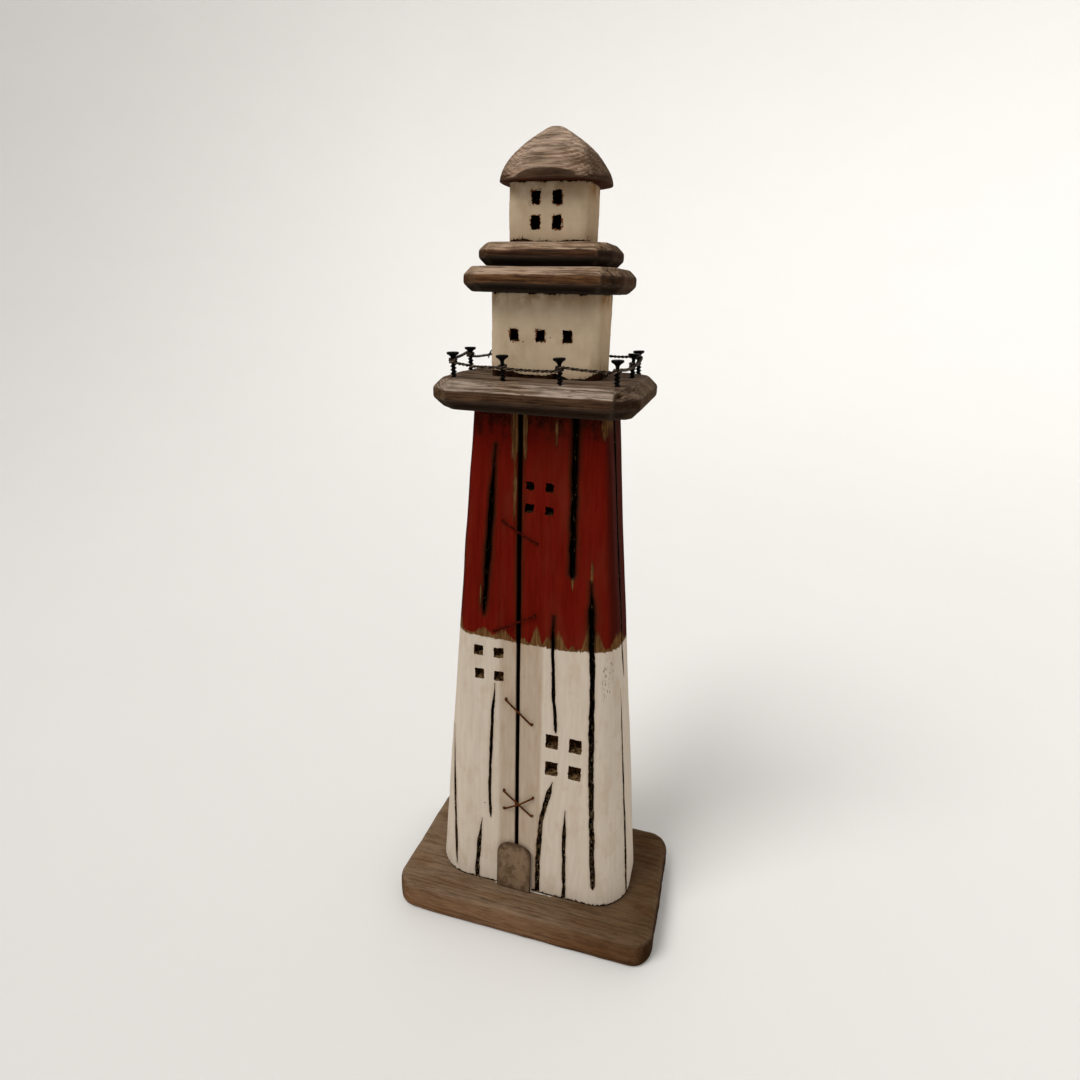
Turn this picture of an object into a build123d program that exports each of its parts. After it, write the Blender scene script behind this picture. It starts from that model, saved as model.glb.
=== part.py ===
from build123d import *

import os

# A rustic lighthouse ornament, hand-made from wood offcuts. Two tapered boards stand
# side by side on a base plank with their joint left open, bridged by wire stitches.
# On their top end sit a gallery deck with a rail of screws and binding wire, a lower
# room, two slabs, an upper room and a carved roof. Millimetres, +Z up, the front
# faces -Y, and the origin is the centre of the base plank's underside.

# Base plank
base_length = 218
base_depth = 126
base_thickness = 25
base_corner_radius = 18
base_edge_radius = 7

# Tower: outline of the pair of boards at the foot and at the head
tower_y = 3
tower_height = 398
foot_width = 166
foot_depth = 82
foot_corner_radius = 31
head_width = 94
head_depth = 50
head_corner_radius = 6
head_shift_x = -2
joint_x_foot = -8.3
joint_x_head = -14.3
joint_vee_half_width = 1.0
joint_vee_depth = 4.0

# Deck, slabs, rooms and roof above the tower
stack_x = -2
room_x = -1
deck_size = (140, 105, 20)
deck_corner_cut = 15
deck_edge_chamfer = 6.5
lower_room_size = (76, 39, 53)
lower_room_corner_radius = 8
lower_slab_size = (105, 73, 15.5)
lower_slab_corner_cut = 12.5
upper_slab_size = (88, 54, 14.5)
upper_slab_corner_cut = 8.5
slab_edge_chamfer = 4.8
upper_room_size = (53, 34, 34)
upper_room_corner_radius = 6.5
roof_half_length = 34.5
roof_half_depth = 27.5
roof_facet_y = 26.3
roof_plan_corner = 17
# height above the roof's underside, share of the plan size there
roof_profile = [(0, 1.0), (6, 0.96), (12, 0.87), (18, 0.72), (24, 0.5), (29, 0.28), (32, 0.12)]

# Levels
base_top = base_thickness
tower_top = base_top + tower_height
deck_top = tower_top + deck_size[2]
lower_room_top = deck_top + lower_room_size[2]
lower_slab_top = lower_room_top + lower_slab_size[2]
upper_slab_top = lower_slab_top + upper_slab_size[2]
upper_room_top = upper_slab_top + upper_room_size[2]

# Window pockets: centres as x and height, then width, height and depth
small_panes = [(-6, 372), (8.5, 372), (-6, 356), (8.5, 356)]
small_pane_size = (6, 6, 6)
left_panes = [(-43, 240.5), (-27, 240.5), (-42, 221), (-26.5, 221)]
left_pane_size = (7.3, 8, 7)
right_panes = [(17.5, 173), (36, 173), (18, 149), (36.5, 149)]
right_pane_size = (9.7, 11.8, 8)
lower_room_panes = [(-21, 470), (-3, 470), (15, 470)]
upper_room_panes = [(-8.5, 551), (5.5, 551), (-8.5, 537), (5.5, 537)]
room_pane_size = (6, 7.2, 6)

# Carved cracks on the front face: (x, height) points of the centre line, width, depth
left_cracks = [
    ([(-32.5, 396), (-33, 373), (-35.5, 329), (-39, 272)], 3.0, 3.0),
    ([(-29.4, 214), (-30.8, 191), (-32.5, 117), (-31.3, 92)], 2.6, 3.0),
    ([(-62.8, 166), (-62.3, 99), (-61.7, 36)], 2.0, 4.5),
    ([(-39, 86), (-41.7, 59), (-42.6, 26)], 3.2, 3.0),
]
right_cracks = [
    ([(24, 424), (26, 351), (27.4, 309)], 3.6, 3.0),
    ([(41.3, 306), (46.4, 215), (50.6, 128), (57, 42)], 3.8, 3.0),
    ([(14.2, 277), (15.2, 250), (17.6, 209), (20.4, 180)], 3.0, 3.0),
    ([(18.2, 134), (14, 114), (11.3, 99), (10.4, 26)], 3.6, 3.0),
    ([(30.7, 110), (31.4, 75), (33.5, 26)], 3.0, 3.0),
]
# The same on the right-hand edge of the tower: (y, height) points
edge_cracks = [
    ([(1, 414), (0, 346), (-2, 245), (1, 222)], 2.2, 3.0),
]

# Door plaque glued over the foot of the joint
door_x = -10
door_width = 29
door_height = 45.5
door_corner_radius = 11
door_thickness = 2.2
door_clearance = 0.2

# Wire stitches: the two ends as x and height, and the rise of the crown at its middle
stitch_radius = 0.7
stitch_leg = 6
stitch_bend = 1.2
stitch_ends = [
    ((-25.2, 344.3), (0.4, 330.3), 0),
    ((-30.8, 258.2), (0.6, 275.3), 0),
    ((-20.3, 202.7), (1.1, 184.4), 0),
    ((-20.5, 119.6), (3.7, 100.8), 0),
    ((-20.2, 102.3), (4.0, 118.2), 2 * stitch_radius + 0.1),
]

# Rail posts, anticlockwise from the front left: x, y, lean in x and y, wire height
rail_posts = [
    (-56.7, -33.4, -0.03, 0.0, 10.5),
    (-20.5, -39.1, -0.04, -0.02, 8.5),
    (17.2, -39.9, -0.06, 0.0, 9.5),
    (52.3, -35.9, -0.02, -0.02, 9.5),
    (53.1, 16.2, 0.02, 0.03, 8.5),
    (53.0, 45.0, -0.05, 0.0, 11.2),
    (16.5, 45.5, 0.03, 0.02, 11.0),
    (-21.0, 45.5, -0.02, 0.03, 10.5),
    (-54.0, 44.5, 0.03, 0.0, 10.5),
    (-62.7, 11.4, -0.03, 0.02, 11.2),
]
post_height = 16
post_root = 13
post_point = 3
post_head_radius = 4
post_head_height = 3
post_rim = 0.5
post_radius = 1.6
thread_radius = 2.1
thread_pitch = 2.2
thread_turns = 3
rail_radius = 0.85
rail_sag = 1.6
rail_bite = 0.5
slack_bend = 30
rail_start = 8

# Hidden fixings
screw_radius = 2.1
screw_head_radius = 4.1
screw_sink = 0.5
base_screw_length = 48
base_screw_places = [(-50, -15), (-50, 21), (40, -15), (40, 21)]
deck_screw_length = 38
deck_screw_places = [(-31, 3), (16, 3)]
recess_width = 1.1
recess_length = 4.4
recess_depth = 1.6
dowel_radius = 4
dowel_gap = 1
room_dowel = (deck_top - 10, deck_top + 15)
slab_dowel = (lower_room_top - 12, upper_slab_top + 10)
roof_dowel = (upper_room_top - 12, upper_room_top + 14)

os.makedirs("parts", exist_ok=True)


def save(builder, name):
    builder.part.label = name
    export_step(builder.part, f"parts/{name}.step")


# The front face leans back and the right-hand edge leans in, each as one plane.
face_rise = (foot_depth - head_depth) / 2
front_face = Plane(
    origin=(0, tower_y - foot_depth / 2, base_top),
    x_dir=(1, 0, 0),
    z_dir=(0, -tower_height, face_rise),
)
edge_rise = (foot_width - head_width) / 2 - head_shift_x
right_edge = Plane(
    origin=(foot_width / 2, tower_y, base_top),
    x_dir=(0, 1, 0),
    z_dir=(tower_height, 0, edge_rise),
)
joint_plane = Plane(
    origin=(joint_x_foot, tower_y, base_top),
    x_dir=(0, 1, 0),
    z_dir=(tower_height, 0, joint_x_foot - joint_x_head),
)


def tower_blank():
    """The rounded, tapered outline that both boards are cut from."""
    with BuildSketch(Plane((0, tower_y, base_top))) as foot:
        RectangleRounded(foot_width, foot_depth, foot_corner_radius)
    with BuildSketch(Plane((head_shift_x, tower_y, tower_top))) as head:
        RectangleRounded(head_width, head_depth, head_corner_radius)
    loft([foot.sketch, head.sketch])


def cut_panes(plane, panes, size):
    """Square blind pockets; plane.origin.Z is the height that pane heights count from."""
    width, height, depth = size
    with BuildSketch(plane) as openings:
        with Locations([(x - plane.origin.X, z - plane.origin.Z) for x, z in panes]):
            Rectangle(width, height)
    extrude(openings.sketch, amount=-depth, mode=Mode.SUBTRACT)


def cut_crack(plane, points, width, depth):
    """A slender crack that tapers to a point at both ends."""
    line = [(x, z - base_top) for x, z in points]
    near = [(x - width / 2, z) for x, z in line[1:-1]]
    far = [(x + width / 2, z) for x, z in line[1:-1]]
    with BuildSketch(plane) as crack:
        with BuildLine():
            Polyline(line[0], *far, line[-1], *reversed(near), close=True)
        make_face()
    extrude(crack.sketch, amount=-depth, mode=Mode.SUBTRACT)


def drill(plane, places, radius, depth):
    with BuildSketch(plane) as holes:
        with Locations(places):
            Circle(radius)
    extrude(holes.sketch, amount=depth, mode=Mode.SUBTRACT)


def stitch_holes(side):
    """Holes for the stitch legs: side 0 is the left-hand end, 1 the right-hand end."""
    ends = [(end[side][0], end[side][1] - base_top) for end in stitch_ends]
    drill(front_face, ends, stitch_radius, -stitch_leg)


def screw_holes(side):
    """Holes for the screws from below and above, on one side of the joint."""
    below = [(x, y) for x, y in base_screw_places if (x > 0) == side]
    above = [(x, y) for x, y in deck_screw_places if (x > 0) == side]
    drill(Plane.XY.offset(base_top), below, screw_radius, base_screw_length - base_top + 1)
    reach = deck_screw_length - deck_size[2] + 1
    drill(Plane.XY.offset(tower_top), above, screw_radius, -reach)


# Base plank, screwed up into the boards from below
with BuildPart() as base_board:
    with BuildSketch():
        RectangleRounded(base_length, base_depth, base_corner_radius)
    extrude(amount=base_thickness)
    rims = base_board.faces().sort_by(Axis.Z)
    fillet(rims[0].edges() + rims[-1].edges(), base_edge_radius)
    with Locations(Plane.XY.rotated((180, 0, 0))):
        with Locations([(x, -y) for x, y in base_screw_places]):
            CounterSinkHole(screw_radius, screw_head_radius + screw_sink, counter_sink_angle=90)
save(base_board, "base_board")

# Left-hand tower board
with BuildPart() as tower_left_board:
    tower_blank()
    split(bisect_by=joint_plane, keep=Keep.BOTTOM)
    joint_face = tower_left_board.faces().sort_by(Axis.X)[-1]
    front_arris = joint_face.edges().sort_by(Axis.Y)[0]
    chamfer(front_arris, joint_vee_depth, joint_vee_half_width, reference=joint_face)
    for points, width, depth in left_cracks:
        cut_crack(front_face, points, width, depth)
    cut_panes(front_face, left_panes, left_pane_size)
    stitch_holes(0)
    screw_holes(False)
save(tower_left_board, "tower_left_board")

# Right-hand tower board
with BuildPart() as tower_right_board:
    tower_blank()
    split(bisect_by=joint_plane, keep=Keep.TOP)
    joint_face = tower_right_board.faces().sort_by(Axis.X)[0]
    front_arris = joint_face.edges().sort_by(Axis.Y)[0]
    chamfer(front_arris, joint_vee_depth, joint_vee_half_width, reference=joint_face)
    for points, width, depth in right_cracks:
        cut_crack(front_face, points, width, depth)
    for points, width, depth in edge_cracks:
        cut_crack(right_edge, points, width, depth)
    cut_panes(front_face, small_panes, small_pane_size)
    cut_panes(front_face, right_panes, right_pane_size)
    stitch_holes(1)
    screw_holes(True)
save(tower_right_board, "tower_right_board")

# Door plaque, flat on the front face over the foot of the joint
with BuildPart() as door_plaque:
    with BuildSketch(front_face):
        with Locations((door_x, door_clearance)):
            outline = Rectangle(door_width, door_height, align=(Align.CENTER, Align.MIN))
        fillet(outline.vertices().group_by(Axis.Z)[-1], door_corner_radius)
    extrude(amount=door_thickness)
save(door_plaque, "door_plaque")


def clipped_slab(bottom, size, corner_cut, edge_chamfer):
    """A plank with clipped corners and both rims chamfered."""
    length, depth, thickness = size
    with BuildSketch(Plane((stack_x, tower_y, bottom))) as plan:
        Rectangle(length, depth)
        chamfer(plan.vertices(), corner_cut)
    blank = extrude(plan.sketch, amount=thickness)
    faces = blank.faces().sort_by(Axis.Z)
    chamfer(faces[0].edges() + faces[-1].edges(), edge_chamfer)


def dowel_bore(x, y, bottom, top):
    with BuildSketch(Plane((x, y, bottom))) as bore:
        Circle(dowel_radius)
    extrude(bore.sketch, amount=top - bottom, mode=Mode.SUBTRACT)


def post_plane(post):
    """A plane on the deck at a rail post, with its normal along the leaning post."""
    x, y, lean_x, lean_y, _ = post
    return Plane(origin=(x, y, deck_top), x_dir=(1, 0, -lean_x), z_dir=(lean_x, lean_y, 1))


# Gallery deck, screwed down into the boards
with BuildPart() as deck_board:
    clipped_slab(tower_top, deck_size, deck_corner_cut, deck_edge_chamfer)
    with Locations([(x, y, deck_top) for x, y in deck_screw_places]):
        CounterSinkHole(screw_radius, screw_head_radius + screw_sink, counter_sink_angle=90)
    dowel_bore(room_x, tower_y, room_dowel[0] - dowel_gap, deck_top)
    for post in rail_posts:
        drill(post_plane(post).offset(post_rim), [(0, 0)], post_radius, -post_root - post_rim)
save(deck_board, "deck_board")

# Lower room
with BuildPart() as lower_room:
    with BuildSketch(Plane((room_x, tower_y, deck_top))):
        RectangleRounded(lower_room_size[0], lower_room_size[1], lower_room_corner_radius)
    extrude(amount=lower_room_size[2])
    room_front = Plane((0, tower_y - lower_room_size[1] / 2, 0), x_dir=(1, 0, 0), z_dir=(0, -1, 0))
    cut_panes(room_front, lower_room_panes, room_pane_size)
    dowel_bore(room_x, tower_y, deck_top, room_dowel[1] + dowel_gap)
    dowel_bore(room_x, tower_y, slab_dowel[0] - dowel_gap, lower_room_top)
save(lower_room, "lower_room")

# Two slabs, the wider one below
with BuildPart() as lower_slab:
    clipped_slab(lower_room_top, lower_slab_size, lower_slab_corner_cut, slab_edge_chamfer)
    dowel_bore(room_x, tower_y, lower_room_top, lower_slab_top)
save(lower_slab, "lower_slab")

with BuildPart() as upper_slab:
    clipped_slab(lower_slab_top, upper_slab_size, upper_slab_corner_cut, slab_edge_chamfer)
    dowel_bore(room_x, tower_y, lower_slab_top, upper_slab_top)
save(upper_slab, "upper_slab")

# Upper room
with BuildPart() as upper_room:
    with BuildSketch(Plane((room_x, tower_y, upper_slab_top))):
        RectangleRounded(upper_room_size[0], upper_room_size[1], upper_room_corner_radius)
    extrude(amount=upper_room_size[2])
    room_front = Plane((0, tower_y - upper_room_size[1] / 2, 0), x_dir=(1, 0, 0), z_dir=(0, -1, 0))
    cut_panes(room_front, upper_room_panes, room_pane_size)
    dowel_bore(room_x, tower_y, upper_slab_top, slab_dowel[1] + dowel_gap)
    dowel_bore(room_x, tower_y, roof_dowel[0] - dowel_gap, upper_room_top)
save(upper_room, "upper_room")

# Roof, carved to a dome from a block that keeps a flat facet front and back
with BuildPart() as roof_cap:
    for height, share in roof_profile:
        with BuildSketch(Plane((0, tower_y, upper_room_top + height))):
            RectangleRounded(
                2 * roof_half_length * share,
                2 * roof_half_depth * share,
                roof_plan_corner * share,
            )
    loft()
    with BuildSketch(Plane((0, tower_y, upper_room_top))):
        Rectangle(2 * base_length, 2 * roof_facet_y)
    extrude(amount=2 * roof_profile[-1][0], mode=Mode.INTERSECT)
    dowel_bore(room_x, tower_y, upper_room_top, roof_dowel[1] + dowel_gap)
save(roof_cap, "roof_cap")


def drive_recess(plane):
    """A cross recess in a screw head whose top lies on the plane."""
    with BuildSketch(plane) as cross:
        Rectangle(recess_length, recess_width)
        Rectangle(recess_width, recess_length)
    extrude(cross.sketch, amount=-recess_depth, mode=Mode.SUBTRACT)


def turned(plane, profile):
    """Revolves a closed (radius, height) profile about the plane's normal."""
    side = Plane(origin=plane.origin, x_dir=plane.x_dir, z_dir=-plane.y_dir)
    with BuildSketch(side) as half:
        with BuildLine():
            Polyline(*profile, close=True)
        make_face()
    revolve(half.sketch, axis=Axis(plane.origin, plane.z_dir))


# Rail posts: bugle-head screws left standing proud of the deck
ridge = thread_radius - post_radius
thread = []
for turn in range(thread_turns):
    low = turn * thread_pitch + ridge
    thread += [(post_radius, low), (thread_radius, low + ridge), (post_radius, low + 2 * ridge)]
post_profile = [
    (0, -post_root),
    (post_radius, -post_root + post_point),
    *thread,
    (post_radius, post_height - post_head_height),
    (post_radius + 0.8, post_height - post_head_height + 1.2),
    (post_head_radius, post_height - post_rim),
    (post_head_radius, post_height),
    (0, post_height),
]
for number, post in enumerate(rail_posts, 1):
    foot = post_plane(post)
    with BuildPart() as rail_screw:
        turned(foot, post_profile)
        drive_recess(foot.offset(post_height))
    save(rail_screw, f"rail_screw_{number}")


def wire_point(post):
    """The point on a post's axis at the height of its wire."""
    x, y, lean_x, lean_y, height = post
    return Vector(x + lean_x * height, y + lean_y * height, deck_top + height)


# Rail wire: a collar as high as its two turns round every post, and one run all the way
# round past their outer sides, which starts and ends in the rear left post's collar
ring_radius = post_radius + rail_radius
rail_offset = ring_radius + rail_bite
tied = [wire_point(post) for post in rail_posts[rail_start:] + rail_posts[: rail_start + 1]]
sides = [Vector(b.Y - a.Y, a.X - b.X, 0).normalized() for a, b in zip(tied, tied[1:])]
route = [tied[0] + sides[0] * rail_offset + Vector(0, 0, rail_radius)]
bends = []
for point, side, following, next_side in zip(tied, sides, tied[1:], sides[1:]):
    corner = (side + next_side) * rail_offset / (1 + side.dot(next_side))
    route += [(point + following) / 2 + side * rail_offset - Vector(0, 0, rail_sag)]
    route += [following + corner]
    bends += [slack_bend, rail_offset]
route += [(tied[-2] + tied[-1]) / 2 + sides[-1] * rail_offset - Vector(0, 0, rail_sag)]
route += [tied[-1] + sides[-1] * rail_offset - Vector(0, 0, rail_radius)]
bends += [slack_bend]
with BuildPart() as rail_wire:
    with BuildLine() as run:
        FilletPolyline(*route, radius=bends)
    with BuildSketch(Plane(origin=run.line @ 0, z_dir=run.line % 0)):
        Circle(rail_radius)
    sweep(path=run.line)
    for post in rail_posts:
        with BuildSketch(post_plane(post).offset(post[4] - 2 * rail_radius)):
            Circle(ring_radius + rail_radius)
            Circle(post_radius, mode=Mode.SUBTRACT)
        extrude(amount=4 * rail_radius)
save(rail_wire, "rail_wire")


def on_front(x, z, out):
    """A point at x and height z on the front face, that far out from it."""
    return front_face.from_local_coords(Vector(x, z - base_top, out))


# Wire stitches across the joint, legs driven into both boards
for number, (first, second, rise) in enumerate(stitch_ends, 1):
    crown = [on_front(*first, stitch_bend)]
    bends = [stitch_bend, stitch_bend]
    if rise:
        middle = [(a + b) / 2 for a, b in zip(first, second)]
        crown.append(on_front(*middle, stitch_bend + rise))
        bends.insert(1, 5 * stitch_bend)
    crown.append(on_front(*second, stitch_bend))
    with BuildPart() as stitch:
        with BuildLine() as path:
            FilletPolyline(
                on_front(*first, -stitch_leg),
                *crown,
                on_front(*second, -stitch_leg),
                radius=bends,
            )
        with BuildSketch(Plane(origin=path.line @ 0, z_dir=path.line % 0)):
            Circle(stitch_radius)
        sweep(path=path.line)
    save(stitch, f"stitch_{number}")


def countersunk_screw(plane, length):
    """A countersunk wood screw driven against the plane's normal, sunk a little."""
    top = -screw_sink
    neck = top - (screw_head_radius - screw_radius)
    turned(
        plane,
        [
            (0, top),
            (screw_head_radius, top),
            (screw_radius, neck),
            (screw_radius, -length + 2 * screw_radius),
            (0, -length),
        ],
    )
    drive_recess(plane.offset(top))


# Hidden screws: four from below into the boards, two from the deck into their top ends
for number, (x, y) in enumerate(base_screw_places, 1):
    with BuildPart() as base_screw:
        countersunk_screw(Plane((x, y, 0), x_dir=(1, 0, 0), z_dir=(0, 0, -1)), base_screw_length)
    save(base_screw, f"base_screw_{number}")

for number, (x, y) in enumerate(deck_screw_places, 1):
    with BuildPart() as deck_screw:
        countersunk_screw(Plane((x, y, deck_top)), deck_screw_length)
    save(deck_screw, f"deck_screw_{number}")

# Hidden dowels that pin the stack together
for name, (bottom, top) in {
    "room_dowel": room_dowel,
    "slab_dowel": slab_dowel,
    "roof_dowel": roof_dowel,
}.items():
    with BuildPart() as dowel:
        with BuildSketch(Plane((room_x, tower_y, bottom))):
            Circle(dowel_radius)
        extrude(amount=top - bottom)
    save(dowel, name)
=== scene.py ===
import itertools
import math

import bpy
import numpy as np
from mathutils import Matrix, Vector


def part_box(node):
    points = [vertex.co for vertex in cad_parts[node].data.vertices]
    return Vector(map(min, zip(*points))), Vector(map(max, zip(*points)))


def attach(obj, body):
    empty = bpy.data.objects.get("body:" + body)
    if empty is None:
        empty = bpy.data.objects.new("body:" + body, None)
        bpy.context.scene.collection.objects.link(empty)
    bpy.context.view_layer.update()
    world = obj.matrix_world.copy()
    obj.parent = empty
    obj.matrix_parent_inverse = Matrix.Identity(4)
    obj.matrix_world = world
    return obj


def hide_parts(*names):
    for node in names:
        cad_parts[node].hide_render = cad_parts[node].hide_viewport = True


# The looks of a rustic lighthouse ornament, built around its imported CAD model. Shapes are
# worked out in millimetres as numpy arrays and turned into metres when a mesh is made.
# +Z is up and the front faces -Y.

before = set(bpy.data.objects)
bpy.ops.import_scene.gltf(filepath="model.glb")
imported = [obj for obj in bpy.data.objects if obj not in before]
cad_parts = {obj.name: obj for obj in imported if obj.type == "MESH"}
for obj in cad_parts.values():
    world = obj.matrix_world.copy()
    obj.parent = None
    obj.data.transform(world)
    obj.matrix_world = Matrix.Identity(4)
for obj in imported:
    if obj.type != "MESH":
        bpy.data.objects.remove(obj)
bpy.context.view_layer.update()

MM = 0.001


def box_mm(node):
    low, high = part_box(node)
    return np.array(low) / MM, np.array(high) / MM


# ------------ driving dimensions

FOOT_Z = box_mm("tower_left_board")[0][2]
HEAD_Z = box_mm("tower_left_board")[1][2]
DECK_Z = box_mm("deck_board")[1][2]
TOWER_Y = 3
# half length, half depth, corner radius and middle x of the tower at its foot and its head
TOWER_FOOT = (83, 41, 31, 0)
TOWER_HEAD = (47, 25, 6, -2)
JOINT_FOOT_X = -8.3
JOINT_HEAD_X = -14.3
# height of the line between the cream and the red coat at the middle of the front
LINE_Z = 250.9
# a distance to cracks and windows that is too far to matter
FAR = 30

# Windows: centres as x and height, then width, height and depth
SMALL_PANES = [(-6.2, 371.2), (8, 371.2), (-6.2, 355.2), (8.6, 355.2)], (6, 6, 5)
LEFT_PANES = [(-43, 240.5), (-27, 240.5), (-42, 221), (-26.5, 221)], (7.3, 8, 6)
RIGHT_PANES = [(17.5, 173), (36, 173), (18, 149), (36.5, 149)], (9.7, 11.8, 7)
LOWER_ROOM_PANES = [(-21, 470), (-3, 470), (15, 470)], (5.8, 7.2, 6)
UPPER_ROOM_PANES = [(-8.5, 551), (5.5, 551), (-8.5, 537), (5.5, 537)], (5.6, 7.6, 6)

# Carved cracks, top to bottom. On the front the points are x and height, on the right-hand
# side y and height. Then width, depth, and how far the crack tapers at its top and bottom.
FRONT_CRACKS = [
    ([(-31.6, 398), (-33.5, 366), (-35.5, 329), (-39, 271)], 3.6, 3.0, 34, 9),
    ([(-29.2, 215), (-30.8, 191), (-32.3, 140), (-32.5, 117), (-31.3, 91)], 2.2, 3.0, 16, 5),
    ([(-66.3, 166), (-63.9, 96), (-62.5, 33)], 2.2, 2.5, 50, 16),
    ([(-38.8, 88), (-41.2, 62), (-42.8, 40), (-42.4, 20)], 3.4, 3.0, 22, 0),
    ([(24, 430), (25.2, 380), (26, 351), (27, 308)], 3.9, 3.2, 0, 3),
    ([(40.8, 307), (43, 275), (46.4, 215), (50.6, 128), (56.6, 42)], 3.9, 3.2, 24, 4),
    ([(14.4, 277), (15.2, 250), (17.6, 209), (20.2, 181)], 2.4, 3.0, 20, 3),
    ([(19.4, 137), (14, 114), (11.3, 97), (9.6, 60), (10.4, 20)], 4.0, 2.4, 10, 0),
    ([(30.7, 113), (31.2, 75), (33.5, 20)], 3.0, 3.0, 22, 0),
]
RIGHT_CRACKS = [
    ([(1, 430), (-0.5, 346), (-3, 245), (1.5, 220)], 3.6, 3.4, 0, 14),
    ([(-12.5, 218), (-13.5, 155), (-14, 98), (-16, 20)], 2.6, 2.5, 40, 0),
]

# Brown teeth that reach up into the red coat: middle x, half width and height
TEETH = [
    *[(-60, 4, 12), (-39, 10, 7), (-24, 10, 8), (-8, 6, 4.5), (2, 4.8, 16), (11.5, 6, 9)],
    *[(18.5, 8, 13), (29.5, 2.2, 5), (41, 4.6, 21), (47.5, 6, 17), (60, 5, 10)],
]
# Where the red is rubbed down to the wood: middle x and height, half width, half height
WORN_FRONT = [
    *[(-17.6, 407, 4.6, 34), (-17.2, 366, 2.2, 30), (-10.8, 410, 3.0, 34), (11.5, 409, 1.8, 15)],
    *[(43.5, 414, 3.6, 12), (-41.6, 286, 1.5, 17), (27.5, 306, 1.7, 12), (41, 313, 1.7, 14)],
]
# Where the cream is scratched
SCUFFED_FRONT = [(56, 232, 5, 24), (16, 232, 2.5, 14), (50, 178, 3, 8)]
# Height of the bare strip under the lower room's cream coat, by x
BARE_STRIP = {-40: 4.2, -22: 3.6, -14: 2.2, 0: 2.0, 8: 3.8, 17: 0.4, 28: 1.4, 38: 6.5}

# Staples across the joint: both ends as x and height, then the rise of the crown's middle
STITCHES = [
    ((-25.2, 344.3), (0.4, 330.3), 0),
    ((-30.8, 258.2), (0.6, 275.3), 0),
    ((-20.3, 202.7), (1.1, 184.4), 0),
    ((-20.5, 119.6), (3.7, 100.8), 0),
    ((-20.2, 102.3), (4.0, 118.2), 1.5),
]
# Beads of glue: x, height over the tower's foot, half length, half depth and half height
GLUE_BEADS = [
    (-25.4, 0.5, 0.9, 0.6, 0.8),
    (5.3, 0.4, 1.1, 0.7, 1.0),
    (4.9, 3.4, 0.5, 0.4, 2.6),
    (12.5, 0.2, 6.5, 0.5, 0.35),
    (21.0, 0.2, 2.2, 0.4, 0.3),
]

# Height over the deck at which the rail wire is wound round each screw
WIRE_HEIGHTS = [10.5, 8.5, 9.5, 9.5, 8.5, 11.2, 11.0, 10.5, 10.5, 11.2]
# and whether the wire climbs there, 1, or drops, -1
WIRE_CLIMBS = [-0.6, 0, 1, 0.6, 0, 0.5, -0.5, 0.6, -0.4, 1]

# ------------ noise and blending

LATTICE = np.random.default_rng(7).uniform(-1, 1, (64, 64, 64))


def noise(points, cell, seed=0):
    """Smooth noise from -1 to 1; cell is the size of its grains along x, y and z."""
    place = points / np.array(cell, float) + 17.3 * seed
    corner = np.floor(place).astype(int)
    share = place - corner
    share = share * share * (3 - 2 * share)
    total = np.zeros(len(points))
    for step in itertools.product((0, 1), repeat=3):
        weight = np.prod(np.where(step, share, 1 - share), axis=1)
        x, y, z = ((corner + step) & 63).T
        total += weight * LATTICE[x, y, z]
    return total


def waver(values, cell, seed=0):
    """The same noise along one line."""
    line = np.zeros((len(values), 3))
    line[:, 0] = values
    line[:, 1:] = 0.37 + seed
    return noise(line, (cell, 1, 1), seed)


def plan_noise(x, y, cell, seed):
    """The same noise seen from above, alike at all heights."""
    return noise(np.stack([x, y, 0 * x], 1), (cell, cell, 1), seed)


def smooth(low, high, value):
    """0 below low, 1 above high and a smooth step between them."""
    t = np.clip((value - low) / (high - low), 0, 1)
    return t * t * (3 - 2 * t)


def soft_max(parts, softness):
    """The largest of the parts, rounded off where two are nearly as large."""
    top = parts.max(0)
    return top + softness * np.log(np.exp((parts - top) / softness).sum(0))


def unit(vectors):
    return vectors / np.linalg.norm(vectors, axis=-1, keepdims=True)


def full_turn(steps):
    return np.linspace(0, 2 * np.pi, steps, endpoint=False)


def polar(radius, angle, z):
    """Points by radius and angle round the Z axis, and height."""
    return np.stack(np.broadcast_arrays(radius * np.cos(angle), radius * np.sin(angle), z), -1)


# ------------ mesh making


def box_grid(low, high, cell):
    """A closed box of small quads."""
    low, high = np.array(low, float), np.array(high, float)
    steps = np.maximum(2, np.round((high - low) / cell)).astype(int)
    sides = []
    for axis in range(3):
        u, v = (axis + 1) % 3, (axis + 2) % 3
        across, along = np.indices((steps[u], steps[v])).reshape(2, -1, 1)
        for level, turn in ((0, [1, 1, 0, 0]), (steps[axis], [0, 0, 1, 1])):
            quads = np.empty((len(across), 4, 3), int)
            quads[..., axis] = level
            quads[..., u] = across + [0, 1, 1, 0]
            quads[..., v] = along + turn
            sides.append(quads)
    quads = np.concatenate(sides)
    nodes, index = np.unique(quads.reshape(-1, 3), axis=0, return_inverse=True)
    return low + nodes * (high - low) / steps, index.reshape(-1, 4).tolist()


def settle(points, parts_of, softness):
    """Moves points onto the surface where the soft maximum of the parts is nought.

    Returns them with their outward normals and how near they are to an arris, 0 to 1."""
    step, rounds, arris_width = 0.02, 14, 1.6
    for _ in range(rounds):
        value = soft_max(parts_of(points), softness)
        slope = np.empty_like(points)
        for axis in range(3):
            shifted = points.copy()
            shifted[:, axis] += step
            slope[:, axis] = (soft_max(parts_of(shifted), softness) - value) / step
        length = np.maximum((slope**2).sum(1), 0.05)
        points = points - slope * (value / length)[:, None]
    ordered = np.sort(parts_of(points), axis=0)
    return points, unit(slope), np.exp((ordered[-2] - ordered[-1]) / arris_width)


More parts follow.
